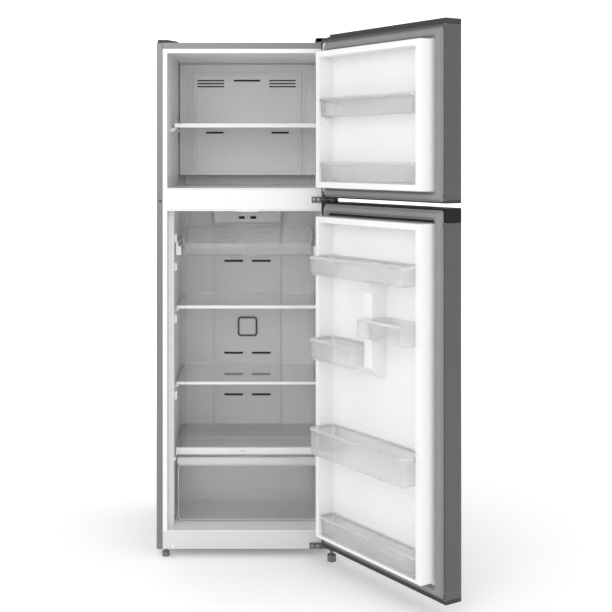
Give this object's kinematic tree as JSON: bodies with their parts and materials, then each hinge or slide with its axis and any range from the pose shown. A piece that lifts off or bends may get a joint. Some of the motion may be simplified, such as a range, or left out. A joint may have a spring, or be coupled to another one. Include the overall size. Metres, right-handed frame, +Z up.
{
  "type": "top freezer refrigerator",
  "caption": "Tall two-door refrigerator with a freezer above, both doors open, glass shelves, a chiller tray, a crisper drawer, door bins and levelling feet.",
  "frame": {"origin": "on the floor, at the middle of the footprint with both doors open as stored", "axes": "+Z up, -Y towards the front of the cabinet, +X to the right seen from the front"},
  "size_m": [0.8292, 1.0402, 1.5594],
  "materials": {
    "painted_steel": "satin silver-grey paint",
    "brushed_dark_steel": "fine horizontal brushing, dark",
    "galvanised_steel": "plain galvanised sheet",
    "white_plastic": "satin moulded",
    "grey_plastic": "satin moulded",
    "dark_plastic": "satin moulded",
    "black_plastic": "satin black",
    "clear_plastic": "clear polystyrene",
    "shelf_glass": "toughened, polished",
    "foam": "raw rigid foam",
    "door_seal": "soft matt grey",
    "hinge_metal": "plated",
    "coil_aluminium": "bare",
    "black_paint": "semi-gloss black"
  },
  "bodies": {
    "cabinet": {"side_panel_left": "painted_steel", "side_panel_right": "painted_steel", "top_panel": "painted_steel", "back_panel": "galvanised_steel", "base_plate": "galvanised_steel", "cabinet_foam": "foam", "freezer_liner": "white_plastic", "fridge_liner": "white_plastic", "mullion_cover": "white_plastic", "kick_plate": "white_plastic", "evaporator_cover": "white_plastic", "evaporator": "coil_aluminium", "fan_motor": "black_plastic", "duct_cover": "white_plastic", "control_housing": "white_plastic", "chiller_rail_left": "white_plastic", "chiller_rail_right": "white_plastic", "compressor": "black_paint", "drip_tray": "dark_plastic", "compressor_cover": "galvanised_steel", "cord_gland": "black_plastic", "top_hinge": "hinge_metal", "top_hinge_cover": "dark_plastic", "corner_cover_left": "dark_plastic", "middle_hinge": "hinge_metal", "bottom_hinge": "hinge_metal"},
    "fan_rotor": {"fan_rotor": "grey_plastic"},
    "freezer_shelf": {"freezer_shelf_glass": "shelf_glass", "freezer_shelf_trim": "white_plastic"},
    "upper_shelf": {"upper_shelf_glass": "shelf_glass", "upper_shelf_trim": "white_plastic"},
    "lower_shelf": {"lower_shelf_glass": "shelf_glass", "lower_shelf_trim": "white_plastic"},
    "crisper_shelf": {"crisper_shelf_glass": "shelf_glass", "crisper_shelf_trim": "white_plastic"},
    "chiller_tray": {"chiller_tray": "clear_plastic"},
    "crisper_drawer": {"crisper_drawer": "clear_plastic"},
    "foot_left": {"foot_left": "black_plastic"},
    "foot_right": {"foot_right": "black_plastic"},
    "roller_left": {"roller_left": "black_plastic"},
    "roller_right": {"roller_right": "black_plastic"},
    "freezer_door": {"freezer_door_skin": "brushed_dark_steel", "freezer_door_foam": "foam", "freezer_door_liner": "white_plastic", "freezer_door_gasket": "door_seal", "freezer_door_top_cap": "dark_plastic", "freezer_door_bottom_cap": "dark_plastic"},
    "fridge_door": {"fridge_door_skin": "brushed_dark_steel", "fridge_door_foam": "foam", "fridge_door_liner": "white_plastic", "fridge_door_gasket": "door_seal", "fridge_door_top_cap": "black_plastic", "fridge_door_bottom_cap": "dark_plastic"},
    "freezer_bin_upper": {"freezer_bin_upper": "clear_plastic"},
    "freezer_bin_lower": {"freezer_bin_lower": "clear_plastic"},
    "fridge_bin_top": {"fridge_bin_top": "clear_plastic"},
    "fridge_bin_hinge_side": {"fridge_bin_hinge_side": "clear_plastic"},
    "fridge_bin_free_side": {"fridge_bin_free_side": "clear_plastic"},
    "fridge_bin_bottles": {"fridge_bin_bottles": "clear_plastic"},
    "fridge_bin_bottom": {"fridge_bin_bottom": "clear_plastic"}
  },
  "joints": [
    {"name": "freezer_door_hinge", "type": "hinge", "parent": "cabinet", "child": "freezer_door", "pos_m": [0.11004, -0.06252, 1.32], "axis": [0, 0, 1], "range_deg": [-122.2, 8]},
    {"name": "fridge_door_hinge", "type": "hinge", "parent": "cabinet", "child": "fridge_door", "pos_m": [0.11004, -0.06252, 0.556], "axis": [0, 0, 1], "range_deg": [-122.2, 8]},
    {"name": "crisper_slide", "type": "slide", "parent": "cabinet", "child": "crisper_drawer", "axis": [0, -1, 0], "range_m": [0, 0.14]},
    {"name": "chiller_slide", "type": "slide", "parent": "cabinet", "child": "chiller_tray", "axis": [0, -1, 0], "range_m": [0, 0.16]},
    {"name": "freezer_shelf_slide", "type": "slide", "parent": "cabinet", "child": "freezer_shelf", "axis": [0, -1, 0], "range_m": [0, 0.1]},
    {"name": "upper_shelf_slide", "type": "slide", "parent": "cabinet", "child": "upper_shelf", "axis": [0, -1, 0], "range_m": [0, 0.1]},
    {"name": "lower_shelf_slide", "type": "slide", "parent": "cabinet", "child": "lower_shelf", "axis": [0, -1, 0], "range_m": [0, 0.1]},
    {"name": "crisper_shelf_slide", "type": "slide", "parent": "cabinet", "child": "crisper_shelf", "axis": [0, -1, 0], "range_m": [0, 0.1]},
    {"name": "fan_spin", "type": "hinge", "parent": "cabinet", "child": "fan_rotor", "pos_m": [-0.14206, 0.40108, 1.4], "axis": [0, 1, 0], "continuous": true},
    {"name": "roller_left_spin", "type": "hinge", "parent": "cabinet", "child": "roller_left", "pos_m": [-0.37706, 0.47508, 0.0115], "axis": [1, 0, 0], "continuous": true},
    {"name": "roller_right_spin", "type": "hinge", "parent": "cabinet", "child": "roller_right", "pos_m": [0.09294, 0.47508, 0.0115], "axis": [1, 0, 0], "continuous": true},
    {"name": "foot_left_turn", "type": "hinge", "parent": "cabinet", "child": "foot_left", "pos_m": [-0.38756, -0.01092, 0.01], "axis": [0, 0, 1], "continuous": true},
    {"name": "foot_right_turn", "type": "hinge", "parent": "cabinet", "child": "foot_right", "pos_m": [0.10804, -0.05692, 0.01], "axis": [0, 0, 1], "continuous": true},
    {"name": "freezer_bin_upper_lift", "type": "slide", "parent": "freezer_door", "child": "freezer_bin_upper", "axis": [0, 0, 1], "range_m": [0, 0.02]},
    {"name": "freezer_bin_lower_lift", "type": "slide", "parent": "freezer_door", "child": "freezer_bin_lower", "axis": [0, 0, 1], "range_m": [0, 0.02]},
    {"name": "fridge_bin_top_lift", "type": "slide", "parent": "fridge_door", "child": "fridge_bin_top", "axis": [0, 0, 1], "range_m": [0, 0.02]},
    {"name": "fridge_bin_hinge_side_lift", "type": "slide", "parent": "fridge_door", "child": "fridge_bin_hinge_side", "axis": [0, 0, 1], "range_m": [0, 0.02]},
    {"name": "fridge_bin_free_side_lift", "type": "slide", "parent": "fridge_door", "child": "fridge_bin_free_side", "axis": [0, 0, 1], "range_m": [0, 0.02]},
    {"name": "fridge_bin_bottles_lift", "type": "slide", "parent": "fridge_door", "child": "fridge_bin_bottles", "axis": [0, 0, 1], "range_m": [0, 0.02]},
    {"name": "fridge_bin_bottom_lift", "type": "slide", "parent": "fridge_door", "child": "fridge_bin_bottom", "axis": [0, 0, 1], "range_m": [0, 0.02]}
  ]
}
